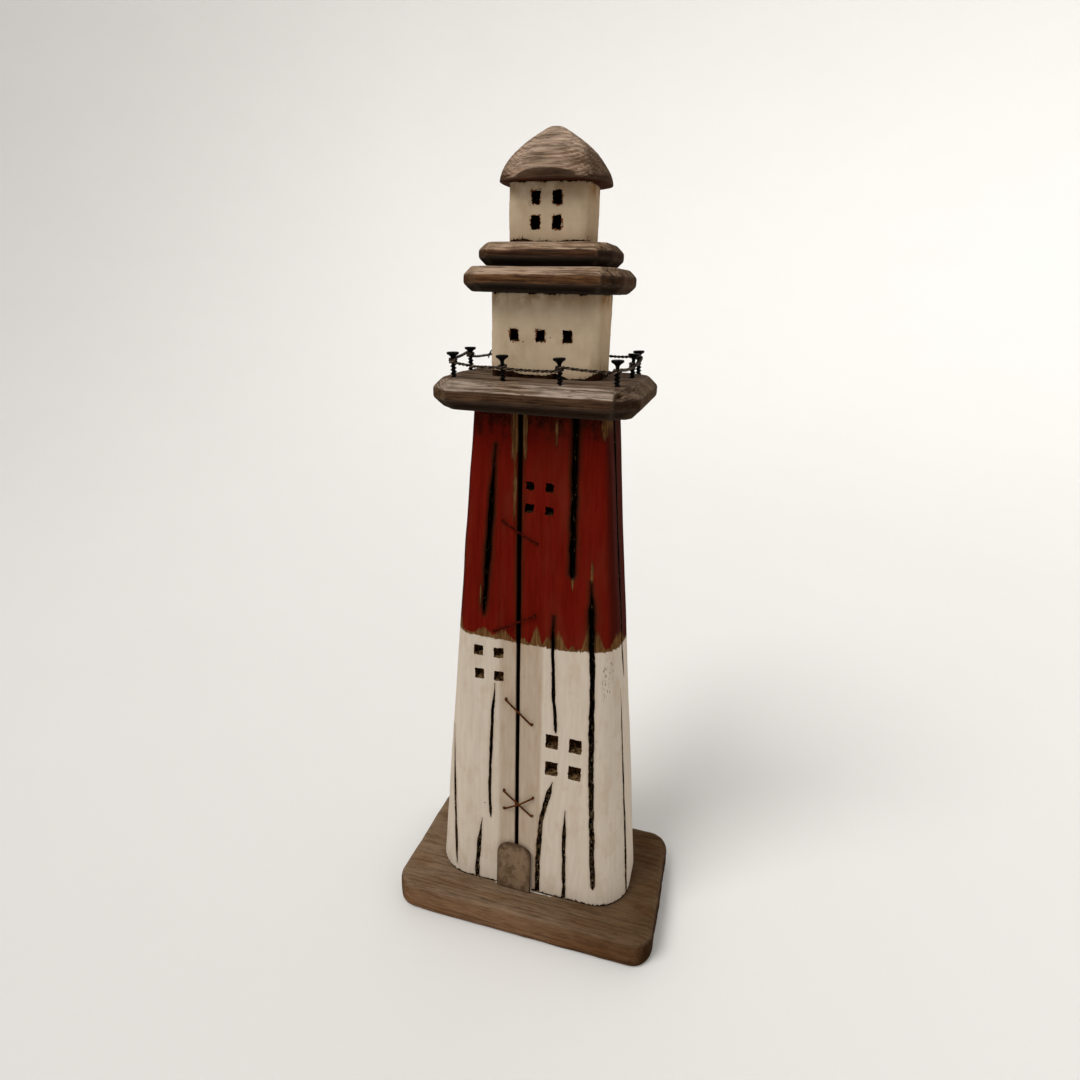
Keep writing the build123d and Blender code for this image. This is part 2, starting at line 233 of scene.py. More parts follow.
def skin(rings, flip=False):
    """Points and faces of a closed skin over equal rings, the first and last ring capped."""
    rows, columns = rings.shape[:2]
    index = np.arange(rows * columns).reshape(rows, columns)
    following = np.roll(index, -1, axis=1)
    quads = np.stack([index[:-1], following[:-1], following[1:], index[1:]], -1).reshape(-1, 4)
    faces = [*quads.tolist(), index[0][::-1].tolist(), index[-1].tolist()]
    if flip:
        faces = [face[::-1] for face in faces]
    return rings.reshape(-1, 3), faces


def joined(parts):
    """One mesh from several (points, faces) pairs."""
    points, faces, start = [], [], 0
    for part_points, part_faces in parts:
        points.append(part_points)
        faces += [[i + start for i in face] for face in part_faces]
        start += len(part_points)
    return np.concatenate(points), faces


def tube(path, radius, sides):
    """A closed round tube along a path; the radius is one number or one for each point."""
    path = np.array(path, float)
    ahead = unit(np.gradient(path, axis=0))
    normal = np.empty_like(path)
    normal[0] = unit(np.cross(ahead[0], (0.31, 0.17, 0.93)))
    for i in range(1, len(path)):
        normal[i] = unit(normal[i - 1] - ahead[i] * np.dot(normal[i - 1], ahead[i]))
    turn = full_turn(sides)[:, None]
    round_path = np.cos(turn) * normal[:, None] + np.sin(turn) * np.cross(ahead, normal)[:, None]
    return skin(path[:, None] + np.broadcast_to(radius, len(path))[:, None, None] * round_path)


def in_scene(name, data):
    piece = bpy.data.objects.new(name, data)
    bpy.context.scene.collection.objects.link(piece)
    return piece


def new_object(name, points, faces, material):
    mesh = bpy.data.meshes.new(name)
    mesh.from_pydata((points * MM).tolist(), [], faces)
    mesh.shade_smooth()
    mesh.materials.append(material)
    return in_scene(name, mesh)


def points_of(piece):
    flat = np.empty(3 * len(piece.data.vertices))
    piece.data.vertices.foreach_get("co", flat)
    return flat.reshape(-1, 3) / MM


def set_values(piece, **values):
    """Stores one number per vertex under each name, for the piece's material to read."""
    for name, numbers in values.items():
        attribute = piece.data.attributes.new(name, "FLOAT", "POINT")
        attribute.data.foreach_set("value", np.ascontiguousarray(numbers, np.float32))


def cut(piece, cutters, material):
    """Takes closed (points, faces) solids out of the piece; the cut faces get the material."""
    tool = new_object("cutter", *joined(cutters), material)
    step = piece.modifiers.new("cut", "BOOLEAN")
    step.operation = "DIFFERENCE"
    step.solver = "EXACT"
    step.object = tool
    step.material_mode = "TRANSFER"
    depsgraph = bpy.context.evaluated_depsgraph_get()
    result = bpy.data.meshes.new_from_object(piece.evaluated_get(depsgraph))
    piece.modifiers.clear()
    piece.data = result
    bpy.data.objects.remove(tool)
    result.set_sharp_from_angle(angle=math.radians(40))


def stand_for(piece, node):
    """Shows the piece in place of its CAD node."""
    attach(piece, "root")
    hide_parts(node)


# ------------ shader helper


def linear(colour):
    """A colour as the shader's own numbers; a Socket or such numbers stay as they are."""
    if isinstance(colour, Socket) or len(colour) == 4:
        return colour
    parts = [part / 255 for part in colour]
    return (*[p / 12.92 if p <= 0.04045 else ((p + 0.055) / 1.055) ** 2.4 for p in parts], 1)


def math_node(operation):
    """A method that adds a math node with this operation."""
    return lambda self, other: self.shader.math(operation, self, other)


class Socket:
    """A node's output; arithmetic on it adds math nodes and gives the last one's output."""

    def __init__(self, shader, output):
        self.shader = shader
        self.output = output

    __add__ = math_node("ADD")
    __sub__ = math_node("SUBTRACT")
    __mul__ = math_node("MULTIPLY")
    __truediv__ = math_node("DIVIDE")
    maximum = math_node("MAXIMUM")
    minimum = math_node("MINIMUM")

    def __rsub__(self, other):
        return self.shader.math("SUBTRACT", other, self)

    def __abs__(self):
        return self.shader.math("ABSOLUTE", self, 0)

    def step(self, low, high):
        """Goes from 0 at low to 1 at high, smoothly; low may be above high."""
        inputs = {"Value": self, "From Min": low, "From Max": high}
        return self.shader.add("MapRange", inputs, interpolation_type="SMOOTHSTEP")


class Shader:
    """One material and short calls for its nodes. Inputs are Sockets or plain values.

    A colour is red, green and blue as seen on a screen, 0 to 255."""

    def __init__(self, name, roughness, specular=0.5):
        self.material = bpy.data.materials.new(name)
        self.material.use_nodes = True
        self.tree = self.material.node_tree
        self.surface = self.tree.nodes["Principled BSDF"].inputs
        self.surface["Roughness"].default_value = roughness
        self.surface["Specular IOR Level"].default_value = specular
        metres = self.add("TexCoord", {}, "Object")
        self.place = self.vector("MULTIPLY", metres, (1 / MM, 1 / MM, 1 / MM))

    def join(self, value, target):
        if isinstance(value, Socket):
            self.tree.links.new(value.output, target)
        else:
            target.default_value = value

    def add(self, kind, inputs, output=0, **settings):
        """Adds a node and gives one of its outputs."""
        node = self.tree.nodes.new(f"ShaderNode{kind}")
        for name, value in settings.items():
            setattr(node, name, value)
        for name, value in inputs.items():
            self.join(value, node.inputs[name])
        return Socket(self, node.outputs[output])

    def math(self, operation, first, second):
        return self.add("Math", {0: first, 1: second}, operation=operation)

    def vector(self, operation, first, second):
        return self.add("VectorMath", {0: first, 1: second}, operation=operation)

    def value(self, name):
        """A number stored on the mesh by set_values."""
        return self.add("Attribute", {}, "Fac", attribute_name=name)

    def facing(self, axis):
        """The surface normal's part along an axis, -1 to 1."""
        return self.add("SeparateXYZ", {0: self.add("NewGeometry", {}, "Normal")}, axis)

    def position(self, axis):
        """The place along an axis in millimetres."""
        return self.add("SeparateXYZ", {0: self.place}, axis)

    def noise(self, factors, detail=4, roughness=0.55, offset=(0, 0, 0), distortion=0):
        """Noise whose grains are 1 / factors millimetres long."""
        vector = self.vector("ADD", self.vector("MULTIPLY", self.place, factors), offset)
        inputs = {"Vector": vector, "Scale": 1, "Detail": detail, "Roughness": roughness}
        return self.add("TexNoise", {**inputs, "Distortion": distortion})

    def dots(self, scale, low, high):
        """Small round specks about 1 / scale millimetres apart, from 0 at low to 1 at high."""
        inputs = {"Vector": self.place, "Scale": scale}
        return self.add("TexVoronoi", inputs, "Distance").step(low, high)

    def mix(self, share, first, second, blend="MIX"):
        inputs = {0: share, 6: linear(first), 7: linear(second)}
        return self.add("Mix", inputs, 2, data_type="RGBA", blend_type=blend)

    def ramp(self, value, tones):
        """Colours by value, from -1 to 1."""
        ramp = self.add("ValToRGB", {0: value})
        elements = ramp.output.node.color_ramp.elements
        while len(elements) < len(tones):
            elements.new(0.5)
        for element, (position, colour) in zip(elements, tones.items()):
            element.position = (position + 1) / 2
            element.color = linear(colour)
        return ramp

    def finish(self, colour, relief=None, depth=0.2, roughness=None):
        """Joins the colour, a relief that is depth millimetres deep, and the roughness."""
        self.join(colour, self.surface["Base Color"])
        if relief is not None:
            bump = self.add("Bump", {"Height": relief, "Distance": depth * MM})
            self.join(bump, self.surface["Normal"])
        if roughness is not None:
            self.join(roughness, self.surface["Roughness"])
        return self.material


# ------------ materials


def weathered_wood(
    name, heart, ends, tones, rings=0.3, period=1.5, contrast=1.0, fine=1.0, darker=(900, 1000)
):
    """Old stained plank wood with its grain along X.

    The growth rings run round the heart line. The tones go by how far a face is turned up, from
    -1 to 1: the undersides are darkened as painted shade, and the upper faces are paler, partly
    from dry brushing and partly as painted light.
    The wood gets darker between the two places along X."""
    s = Shader(name, 0.85, 0.01)
    centred = s.vector("SUBTRACT", s.place, heart)
    inputs = {
        "Vector": s.vector("MULTIPLY", centred, (0.10, 1, 1)),
        "Scale": 2 * math.pi / 20 / period,
        "Distortion": 7,
        "Detail": 5,
        "Detail Scale": 0.11,
        "Detail Roughness": 0.7,
    }
    wave = s.add("TexWave", inputs, "Fac", wave_type="RINGS", rings_direction="X")
    fibres = s.noise((0.055, fine, fine), 5, 0.72)
    bands = s.noise((0.012, 0.25, 0.25), 4, 0.6, (7, 2, 4))
    pores = s.noise((0.09, 1, 1), 3, 0.7, (5, 3, 9)).step(0.57, 0.64)
    cloud = s.noise((0.03, 0.07, 0.07), 5, 0.6, (2, 8, 1))
    grain = fibres * 0.62 + bands * 0.38 - wave * cloud.step(0.35, 0.62) * rings * 0.35
    turned = (s.facing("Z") + 1) * 0.5 + (grain - 0.45) * 0.16
    # painted light and shade: the tone follows how far the face turns up
    tone = s.ramp(turned, tones)

    # end grain, darker than the faces; painted shade makes it darker still on the right-hand ends
    # and at the corner between the right-hand end and the front, and end grain that turns up is
    # paler, partly worn and partly painted light
    right_end = s.facing("X").step(0.32, 0.78)
    left_end = s.facing("X").step(-0.32, -0.78) * 0.7
    end_worn_and_lit = s.mix(s.facing("Z").step(0.15, 0.8), ends, (108, 87, 67))
    tone = s.mix((right_end + left_end) * 0.8, tone, end_worn_and_lit)
    patchy = s.facing("X") + (cloud - 0.5) * 1.4
    corner = patchy.step(0.1, 0.8) * s.facing("Y").step(0.35, -0.55)
    tone = s.mix(corner * contrast**3, tone, (132, 113, 92), "MULTIPLY")

    # the grain's dark and pale lines, larger stains, arrises and pores
    dark = [1 + (part - 1) * contrast for part in (0.3, 0.26, 0.22)]
    pale = [1 + (part - 1) * contrast for part in (1.26, 1.25, 1.24)]
    shades = s.mix(grain.step(0.36, 0.58), (*dark, 1), (*pale, 1))
    tone = s.mix(1, tone, shades, "MULTIPLY")
    # painted shadow: darker between the two places along X, which on the base is the tower's
    # shadow over its right-hand part
    tone = s.mix(s.position("X").step(*darker), tone, (192, 182, 168), "MULTIPLY")
    warm = s.mix(1, tone, (232, 208, 180), "MULTIPLY")
    tone = s.mix(cloud.step(0.47, 0.68) * 0.6, tone, warm)
    tone = s.mix(s.value("arris") * 0.08, tone, (168, 148, 130))
    tone = s.mix(pores * (0.55 * contrast), tone, (38, 26, 18))
    return s.finish(tone, grain - pores * 0.3, 0.35)


def cut_wood():
    """Raw wood inside the cracks: black with stain, dry and flecked towards the foot."""
    s = Shader("cut_wood", 0.95, 0)
    specks = s.noise((0.4, 0.4, 0.16), 6, 0.75)
    low = s.position("Z").step(252, 110)
    tone = s.mix((specks + low * 0.08).step(0.57, 0.66), (8, 5, 3), (86, 68, 45))
    flecks = s.noise((0.7, 0.7, 0.45), 2, offset=(9, 9, 2)).step(0.61, 0.65)
    tone = s.mix(flecks * low * 0.75, tone, (164, 146, 120))
    return s.finish(tone, specks, 0.5)


def window_wood(name, dark, pale, lit_sill):
    """Chiselled wood in the windows; the sills that face up are paler, as painted light."""
    s = Shader(name, 0.9, 0)
    chips = s.noise((0.38, 0.38, 0.3), 4, 0.6)
    tone = s.mix(chips.step(0.42, 0.64), dark, pale)
    flat = s.facing("Z").step(0.4, 0.9) * chips.step(0.38, 0.6)
    return s.finish(s.mix(flat, tone, lit_sill), chips, 0.35)


def cream_coat(s, thin, factors):
    """Antique cream brushed on wood; thin is how much of the brown shows through.

    Returns its colour and its brush marks."""
    brush = s.noise(factors, offset=(1, 4, 2))
    cloud = s.noise((0.09, 0.09, 0.05), 5, 0.6, (6, 2, 5))
    tone = s.mix(brush.step(0.28, 0.72), (193, 179, 163), (201, 188, 173))
    tone = s.mix(cloud.step(0.48, 0.7) * 0.5, tone, (180, 161, 138))
    return s.mix(thin * brush.step(-0.2, 0.8), tone, (140, 112, 82)), brush


def tower_paint():
    """Deep red over cream, worn through to olive-brown wood at the edges of the coats."""
    s = Shader("tower_paint", 0.75, 0.004)
    over, worn = s.value("over_line"), s.value("worn")
    crack, joint, pane = s.value("crack_gap"), s.value("joint_gap"), s.value("pane_gap")
    ragged = s.noise((0.5, 0.5, 0.3), offset=(8, 8, 8))
    streak = s.noise((0.75, 0.75, 0.035), 5, 0.65)
    grit = s.noise((1.1, 1.1, 0.6), 3, offset=(2, 2, 2))

    # bare wood under the paint: olive brown, with painted shade at the foot where the tower meets
    # the base
    wood = s.mix(streak.step(0.36, 0.64), (78, 49, 24), (112, 80, 48))
    wood = s.mix(grit.step(0.52, 0.7) * 0.4, wood, (44, 28, 15))
    wood = s.mix(s.position("Z").step(FOOT_Z + 5, FOOT_Z + 2), wood, (38, 26, 16))

    # red coat, dusty in places, with painted shade on the tower's sides and a painted shadow of
    # the deck as a dark mottled band at the top
    brushed = s.noise((0.35, 0.35, 0.03), 5, offset=(3, 7, 1)).step(0.3, 0.7)
    red = s.mix(brushed, (88, 15, 7), (100, 21, 11))
    dusty = s.noise((0.045, 0.045, 0.012), 3, offset=(1, 5, 9)).step(0.5, 0.72)
    red = s.mix(dusty * 0.5, red, (98, 38, 24))
    red = s.mix(abs(s.facing("X")).step(0.5, 0.95) * 0.8, red, (50, 18, 12))
    stain = s.noise((0.16, 0.16, 0.09), 5, 0.65, (2, 6, 6))
    # the dark mottled band at the top is a painted shadow under the deck
    deck_shadow_mottle = s.mix(grit.step(0.42, 0.6), (16, 8, 5), (58, 24, 12))
    red = s.mix((s.position("Z") + stain * 50).step(426, 446) * 0.85, red, deck_shadow_mottle)

    # the red is rubbed away in streaks up to the brown band's top and in the worn patches
    lines = s.noise((1.5, 1.5, 0.045), 4, 0.6, (6, 3, 3))
    rub = (worn - 0.72) * 0.36 - lines + 0.5
    band = s.value("brown_top") * (streak * 1.1 + 0.35)
    inside = over - (band + ragged * 1.4)
    fade = over.step(3, 14) * 2.4 + 0.6
    red_share = (inside / fade).step(-1, 1) * (1 - rub.step(-0.05, 0.03))
    glaze = rub.step(-0.16, 0) * worn.step(0.02, 0.4)
    halo = crack.step(4.6, 0.6).maximum(joint.step(5.6, 1.6)) * streak.step(0.3, 0.62)
    red = s.mix(halo.maximum(glaze) * 0.8, red, (54, 31, 16))

    # cream coat, chipped along its edges and scratched in places
    thin = s.value("valley") * 0.6 + crack.step(3, 0.3) * 0.25
    cream, brush = cream_coat(s, thin, (0.4, 0.4, 0.03))
    cream_share = (over + (ragged * 4.2 + grit * 2.6)).step(3.9, 3.3)
    foot = s.position("Z") - ragged * 9
    cream_share *= foot.step(FOOT_Z - 2.6, FOOT_Z - 2.2)
    lip = crack.minimum((joint - 1.1).minimum(pane))
    cream_share *= (lip - (grit * 1.6 - 0.72)).step(-0.1, 0.1)
    scratches = s.noise((0.9, 0.9, 0.28), 3, offset=(3, 1, 2)).step(0.57, 0.61)
    cream_share *= 1 - s.value("scuff") * scratches * 0.9
    tone = s.mix(cream_share, wood, cream)
    tone = s.mix(red_share, tone, red)

    # a dark soft rim beside the joint and the cracks, where stain ran in, and pinpricks
    in_red = over.step(-2, 2)
    rim = joint.step(2.5, 1.4).maximum(crack.step(0.7, -0.2)) * (in_red * 0.4 + 0.45)
    rim = rim.maximum(in_red * crack.step(2.4, 0.2) * 0.7)
    tone = s.mix(rim.maximum(joint.step(1.9, 1.15)), tone, (11, 7, 4))
    tone = s.mix(s.dots(0.045, 0.034, 0.026), tone, (52, 36, 26))
    coats = cream_share * 0.9 + red_share * 1.1
    return s.finish(tone, coats + streak * 0.2 + brush * 0.15, 0.25, 0.9 - coats * 0.2)


def room_paint(name, lighting_tint):
    """Cream coat of the rooms, with bare brown wood at the foot, a tan band at the top that is
    partly stain and partly painted shade, and painted shade on the right-hand side.
    """
    s = Shader(name, 0.75, 0.004)
    foot, head, pane = s.value("over_foot"), s.value("under_head"), s.value("pane_gap")
    ragged = s.noise((0.45, 0.45, 0.45))
    grit = s.noise((0.9, 0.9, 0.7), 3, offset=(4, 4, 1))
    stain = s.noise((0.12, 0.12, 0.1), offset=(7, 1, 1))

    # bare wood, dark brown to near-black, the darkness partly painted shade in the strips at the
    # foot and the top, reddish where it is chipped round the windows
    wood = s.mix(stain.step(0.4, 0.6), (12, 7, 5), (50, 29, 17))
    wood = s.mix(grit.step(0.5, 0.7) * 0.5, wood, (24, 13, 8))
    chipped = s.mix(grit.step(0.45, 0.6), (30, 14, 8), (116, 68, 38))
    wood = s.mix(pane.step(4, 2.5), wood, chipped)

    # cream coat, with a tan band at the top that is partly stain and partly painted shade and
    # grows towards the right, thinner at the foot, and with painted shade on the right-hand side
    tan = head.step(13, 1) * (stain + s.value("soiled")).step(0.38, 0.62)
    side = s.facing("X").step(0.55, 0.95) * 0.42
    thin = tan * 0.8 + (foot.step(10, 0) * 0.25 + side)
    cream, brush = cream_coat(s, thin, (0.16, 0.16, 0.12))
    spikes = s.noise((0.8, 0.8, 0.14), 3, offset=(5, 2, 7)).step(0.6, 0.7)
    share = (foot - ragged * 2.2 - spikes * 3.2).step(-1.3, -0.9)
    share *= (pane - (grit * 6.4 - 2.95)).step(-0.15, 0.15)
    broken = stain.step(0.45, 0.6) * 3.2 + 1.6
    share *= (head - ragged * broken).step(-1.7, -1.3)
    tone = s.mix(share, wood, s.mix(1, cream, lighting_tint, "MULTIPLY"))
    tone = s.mix(s.dots(0.09, 0.055, 0.03), tone, (84, 60, 38))
    return s.finish(tone, share + (brush * 0.4 + ragged * 0.3), 0.3)


def door_wood():
    """A thin blotchy veneer, grey-brown with a darker rim."""
    s = Shader("door_wood", 0.75, 0.1)
    blotch = s.noise((0.16, 0.16, 0.11), 5, 0.6, distortion=0.4)
    streak = s.noise((0.9, 0.9, 0.08))
    tone = s.mix(blotch.step(0.4, 0.6), (90, 70, 51), (122, 100, 78))
    tone = s.mix(streak.step(0.5, 0.75) * 0.3, tone, (82, 62, 45))
    spots = s.noise((0.3, 0.3, 0.5), 2, offset=(1, 1, 5)).step(0.63, 0.72)
    tone = s.mix(spots * 0.5, tone, (142, 122, 100))
    tone = s.mix(s.value("arris") * 0.75, tone, (52, 38, 26))
    return s.finish(tone, blotch + streak, 0.15)


def steel(name, base, patch, roughness, metallic, specular=0.5):
    """Dull metal, half of it under patches of rust or dirt."""
    s = Shader(name, roughness, specular)
    s.surface["Metallic"].default_value = metallic
    dirt = s.noise((0.8, 0.8, 0.8), 4, 0.65)
    fine = s.noise((2.8, 2.8, 2.8), 2, offset=(3, 3, 3))
    share = dirt.step(0.42, 0.66) * 0.5
    return s.finish(s.mix(share, base, patch), dirt + fine, 0.08, share * 0.3 + roughness)


def rail_steel():
    """Dirty iron wire, one strand darker than the other."""
    s = Shader("rail_steel", 0.6, 0.1)
    dirt = s.noise((0.3, 0.3, 0.3), 4, 0.65).step(0.4, 0.62)
    dark = s.mix(dirt, (16, 11, 8), (40, 30, 22))
    pale = s.mix(dirt, (66, 54, 43), (104, 90, 74))
    return s.finish(s.mix(s.value("strand"), dark, pale), dirt, 0.05)


def stitch_wire():
    """Rusty staple wire; red paint went over the two that sit in the red coat."""
    s = Shader("stitch_wire", 0.7, 0)
    dirt = s.noise((0.7, 0.7, 0.7))
    rust = s.mix(dirt.step(0.35, 0.65), (46, 24, 11), (96, 54, 24))
    red = s.mix(dirt.step(0.45, 0.7), (46, 10, 6), (90, 28, 16))
    return s.finish(s.mix(s.position("Z").step(240, 256), rust, red), dirt, 0.1)


def dowel_wood():
    s = Shader("dowel_wood", 0.7)
    streak = s.noise((0.9, 0.9, 0.04), 5)
    tone = s.mix(streak.step(0.3, 0.7), (168, 130, 88), (206, 172, 126))
    return s.finish(tone, streak, 0.1)


def glue():
    s = Shader("glue", 0.25)
    s.surface["Subsurface Weight"].default_value = 0.2
    s.surface["Subsurface Radius"].default_value = (0.002, 0.0015, 0.001)
    milk = s.noise((0.8, 0.8, 0.8), 3)
    return s.finish(s.mix(milk, (150, 138, 120), (214, 206, 194)), milk, 0.1)


CUT = cut_wood()
TOWER_WINDOW = window_wood("tower_window", (30, 17, 9), (84, 57, 31), (122, 96, 64))
DARK_WINDOW = window_wood("dark_window", (5, 3, 2), (26, 17, 10), (58, 42, 24))
TOWER_PAINT = tower_paint()
# The lower room's coat is tinted lighter than the upper room's, as painted light against the
# shade of the slab above it
LOWER_PAINT = room_paint("lower_room_paint", (249, 240, 222))
UPPER_PAINT = room_paint("upper_room_paint", (231, 221, 204))
SCREW_STEEL = steel("screw_steel", (2, 2, 2), (20, 15, 11), 0.4, 0, 0.05)
PLATED_STEEL = steel("plated_steel", (176, 172, 160), (120, 112, 96), 0.32, 0.95)
STITCH_WIRE = stitch_wire()
DOWEL_WOOD = dowel_wood()
# The plank woods: heart line, tone of the end grain, and tones by how far a face turns up, which
# hold painted shade on the undersides and painted light on the upper faces
ROOF_WOOD = weathered_wood(
    "roof_wood",
    (0, 14, 515),
    (78, 56, 38),
    {
        -0.6: (66, 34, 18), 0.0: (64, 46, 32), 0.22: (70, 51, 37),
        0.32: (140, 117, 98), 0.75: (168, 147, 129), 1.0: (200, 176, 155),
    },
    rings=0.35,
    period=1.35,
    contrast=0.85,
    fine=1.1,
)
UPPER_SLAB_WOOD = weathered_wood(
    "upper_slab_wood",
    (0, 40, 470),
    (60, 41, 26),
    {
        -0.8: (5, 3, 2), -0.3: (17, 9, 5), 0.0: (56, 32, 17),
        0.3: (76, 48, 28), 0.5: (174, 149, 127), 1.0: (160, 138, 117),
    },
    fine=0.95,
)
LOWER_SLAB_WOOD = weathered_wood(
    "lower_slab_wood",
    (0, 40, 440),
    (70, 49, 31),
    {
        -0.8: (10, 5, 3), -0.3: (36, 20, 9), 0.0: (86, 56, 31),
        0.3: (98, 68, 42), 0.5: (170, 146, 125), 1.0: (152, 131, 111),
    },
    fine=0.95,
)
DECK_WOOD = weathered_wood(
    "deck_wood",
    (0, -20, 380),
    (92, 72, 53),
    {
        -0.8: (32, 21, 13), -0.3: (49, 33, 21), 0.0: (68, 48, 32),
        0.3: (80, 59, 42), 0.5: (166, 152, 139), 1.0: (114, 97, 82),
    },
)
BASE_WOOD = weathered_wood(
    "base_wood",
    (0, 30, -60),
    (64, 46, 30),
    {-0.8: (60, 42, 28), 0.0: (121, 92, 68), 0.5: (110, 85, 64), 1.0: (124, 103, 82)},
    rings=0.2,
    period=2.4,
    contrast=0.5,
    fine=0.8,
    # painted shadow of the tower, darker towards the base's right-hand end
    darker=(-20, 105),
)

# ------------ planks


def carve(name, material, shape, sizes, softness, cell, seed, wear=None, uneven=1.0):
    """A wooden piece settled onto a soft shape inside its CAD node's box, then roughened.

    The roughness is hand-sawn unevenness and the ridges of the grain, along the normals."""
    low, high = box_mm(name)
    points, quads = box_grid(low, high, cell)
    points, normals, arris = settle(points, shape(low, high, *sizes), softness)
    along_grain = 1 - 0.75 * np.abs(normals[:, 0])
    lift = 0.42 * noise(points, (55, 26, 26), seed) + 0.16 * noise(points, (14, 6, 6), seed + 1)
    lift += 0.10 * along_grain * noise(points, (26, 2.1, 2.1), seed + 2)
    lift += 0.10 * along_grain * noise(points, (8, 1.1, 1.1), seed + 3)
    # level faces are smoother, and what rests on the floor is quite flat
    level = np.abs(normals[:, 2]) > 0.99
    still = np.where(level, np.where(points[:, 2] < 1, 1, 0.65), 0)
    points = points + normals * (uneven * lift * (1 - still))[:, None]
    if wear:
        points = wear(points, normals)
    piece = new_object(name, points, quads, material)
    set_values(piece, arris=arris)
    stand_for(piece, name)


def round_rect(x, y, half_x, half_y, radius):
    """Distance to the outline of a rounded rectangle, negative inside it."""
    out_x, out_y = np.abs(x) - half_x + radius, np.abs(y) - half_y + radius
    outside = np.hypot(np.maximum(out_x, 0), np.maximum(out_y, 0))
    return outside + np.minimum(np.maximum(out_x, out_y), 0) - radius


# The shapes give a function of points whose largest part is nought on the surface.


def rounded_block(low, high, corner_radius):
    """A block with rounded upright corners."""
    middle, half = (low + high) / 2, (high - low) / 2

    def parts(p):
        x, y, z = (p - middle).T
        return np.stack([round_rect(x, y, half[0], half[1], corner_radius), np.abs(z) - half[2]])

    return parts


def clipped_plank(low, high, corner_cut, rim_chamfer):
    """A plank with clipped corners and a chamfer along every rim."""
    middle, half = (low + high) / 2, (high - low) / 2

    def parts(p):
        x, y, z = np.abs(p - middle).T
        sides = [x - half[0], y - half[1], (x + y - half[0] - half[1] + corner_cut) / 2**0.5]
        rims = [(side + z - half[2] + rim_chamfer) / 2**0.5 for side in sides]
        return np.stack([*sides, z - half[2], *rims])

    return parts


def roof(low, high):
    """A dome over a soft oblong, narrowing upwards, cut off flat in front and behind."""
    length, depth, rise, size = 34.5, 28.8, 34.0, 30
    oblong, bulge, facet_y, crown_bend = 2.9, 1.9, 26.8, 0.022

    def parts(p):
        up = np.maximum(p[:, 2] - low[2], -3)
        lift = np.maximum(up / rise, 0)
        x = np.abs(p[:, 0] + 0.035 * up) / length
        behind = p[:, 1] - TOWER_Y
        y = np.abs(behind) / (depth * (1 - 0.24 * np.minimum(lift, 1)))
        out = (x**oblong + y**oblong + 1e-9) ** (1 / oblong)
        steep = bulge * lift ** (bulge - 1) * size / rise
        dome = size * (out - 1 + lift**bulge) / np.sqrt(1 + steep**2)
        crown = p[:, 2] - high[2] + crown_bend * ((p[:, 0] + 1) ** 2 + behind**2)
        return np.stack([dome, np.abs(behind) - facet_y, low[2] - p[:, 2], crown])

    return parts


def base_wear(points, normals):
    """Open grain lines along the base's front edge."""
    x, y, _ = points.T
    width, depth = 0.8, 0.7
    sunk = 0
    for line_y, length, seed in ((-55.5, 88, 5), (-50.5, 74, 6), (-46, 40, 7)):
        gap = (y - line_y - 1.2 * waver(x, 34, seed)) / width
        ends = smooth(length, length - 20, np.abs(x + 6 * seed - 30))
        sunk = sunk + depth * np.exp(-(gap**2)) * ends
    return points - normals * (sunk * smooth(0.8, 0.98, normals[:, 2]))[:, None]


def deck_wear(points, normals):
    """A groove along the deck's front edge and a nick beside its right-hand corner."""
    x, y, z = points.T
    groove_y, groove_width, groove_depth = -42.5, 0.9, 0.9
    gap = (y - groove_y + 0.5 * waver(x, 25, 3)) / groove_width
    groove = np.exp(-(gap**2)) * smooth(66, 50, np.abs(x + 4)) * smooth(0.9, 0.98, normals[:, 2])
    nick_x, nick_z, nick_depth = 56, 437.5, 1.4
    nick_gap = np.hypot((x - nick_x) / 2.4, (z - nick_z) / 1.4)
    nick = np.exp(-(nick_gap**2)) * (y < -30)
    return points - normals * (groove_depth * groove + nick_depth * nick)[:, None]


def roof_tooling(points, normals):
    """Faint carving ripples that follow the rings, stronger on the dome."""
    ripple = np.sin(points[:, 2] * 2.4 + 3.0 * noise(points, (20, 12, 9), 55))
    return points + normals * (0.03 * ripple * smooth(0.05, 0.5, normals[:, 2]))[:, None]


# each with its shape's sizes, the softness of its arrises, the size of its quads and its seed
carve("base_board", BASE_WOOD, rounded_block, [18], 2.3, 1.15, 11, base_wear, 1.7)
carve("deck_board", DECK_WOOD, clipped_plank, [15, 6.5], 0.45, 0.75, 21, deck_wear)
carve("lower_slab", LOWER_SLAB_WOOD, clipped_plank, [12.5, 4.8], 0.4, 0.62, 31)
carve("upper_slab", UPPER_SLAB_WOOD, clipped_plank, [8.5, 4.8], 0.4, 0.6, 41)
carve("roof_cap", ROOF_WOOD, roof, [], 0.16, 0.5, 51, roof_tooling, 0.6)

# ------------ windows and cracks


def pane_cutters(panes, face_y, seed):
    """Rough square plugs that chisel the windows out; face_y gives the face's y at a height."""
    centres, (width, height, depth) = panes
    for number, (x, z) in enumerate(centres):
        low = (-width / 2, -3, -height / 2)
        points, quads = box_grid(low, (width / 2, depth, height / 2), 0.65)
        centre = np.array([x, 0, z])
        seeds = [seed + number * 3 + axis for axis in range(3)]
        moves = [noise(points + centre, (2.3, 3.5, 2.3), s) for s in seeds]
        chips = [noise(points + centre, (0.9, 3, 0.9), s + 50) for s in seeds]
        points = points + 0.75 * np.stack(moves, 1) + 0.35 * np.stack(chips, 1)
        points[:, ::2] *= 1 - 0.12 * smooth(0, depth, points[:, 1:2])
        points += centre
        points[:, 1] += face_y(points[:, 2])
        yield points, quads


def tower_share(z):
    return np.clip((z - FOOT_Z) / (HEAD_Z - FOOT_Z), 0, 1)


